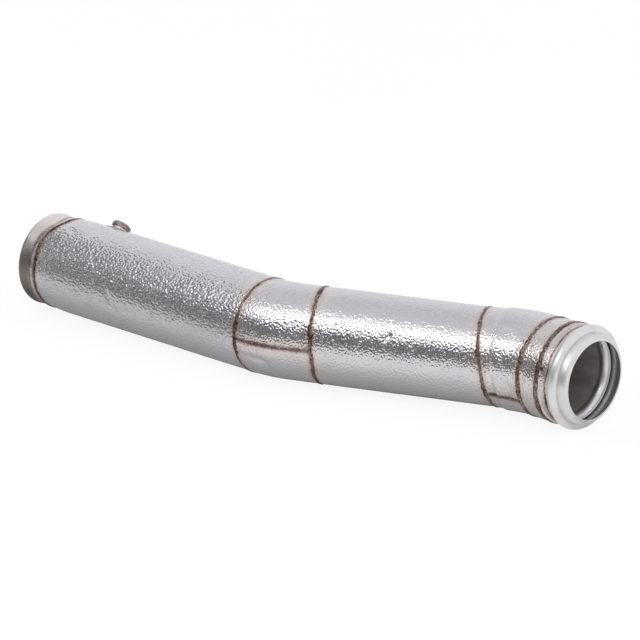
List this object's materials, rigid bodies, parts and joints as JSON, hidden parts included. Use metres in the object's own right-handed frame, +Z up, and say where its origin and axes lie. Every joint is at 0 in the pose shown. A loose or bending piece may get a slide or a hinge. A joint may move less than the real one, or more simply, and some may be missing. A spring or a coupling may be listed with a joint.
{
  "type": "insulated exhaust pipe",
  "caption": "Offset exhaust pipe in an embossed foil jacket with welded seams, a plain collar at the inlet, a clamp bead at the outlet and a plugged sensor boss.",
  "frame": {"origin": "middle of the bounding box, on the floor that the pipe lies on", "axes": "+X along both parallel pipe ends from inlet to outlet, +Y to the side that the outlet is offset to, +Z up"},
  "size_m": [0.805, 0.2378, 0.1294],
  "materials": {
    "foil_jacket": "embossed stainless foil",
    "tube_steel": "plain drawn tube, dulled inside",
    "collar_steel": "pressed steel, tinted by heat",
    "flange_steel": "bright pressed steel",
    "weld_bead": "heat-tinted weld",
    "fibre_mat": "needled fibre mat",
    "boss_steel": "turned steel, tinted by heat",
    "plug_steel": "browned hexagon plug",
    "copper": "soft sealing ring"
  },
  "bodies": {
    "root": {"exhaust_tube": "tube_steel", "inlet_collar": "collar_steel", "outlet_flange": "flange_steel", "inlet_mat": "fibre_mat", "elbow_mat": "fibre_mat", "middle_mat": "fibre_mat", "outlet_mat": "fibre_mat", "inlet_jacket": "foil_jacket", "elbow_jacket": "foil_jacket", "middle_jacket": "foil_jacket", "outlet_jacket": "foil_jacket", "closing_band": "foil_jacket", "collar_rim_weld": "weld_bead", "collar_weld": "weld_bead", "elbow_front_weld": "weld_bead", "elbow_rear_weld": "weld_bead", "outlet_front_weld": "weld_bead", "band_weld": "weld_bead", "flange_weld": "weld_bead", "flange_rim_weld": "weld_bead", "elbow_lap_weld": "weld_bead", "outlet_lap_weld": "weld_bead", "inlet_lap_weld": "weld_bead", "middle_lap_weld": "weld_bead", "sensor_boss": "boss_steel", "plug_washer": "copper", "boss_plug": "plug_steel", "boss_eyelet": "foil_jacket"}
  },
  "joints": []
}
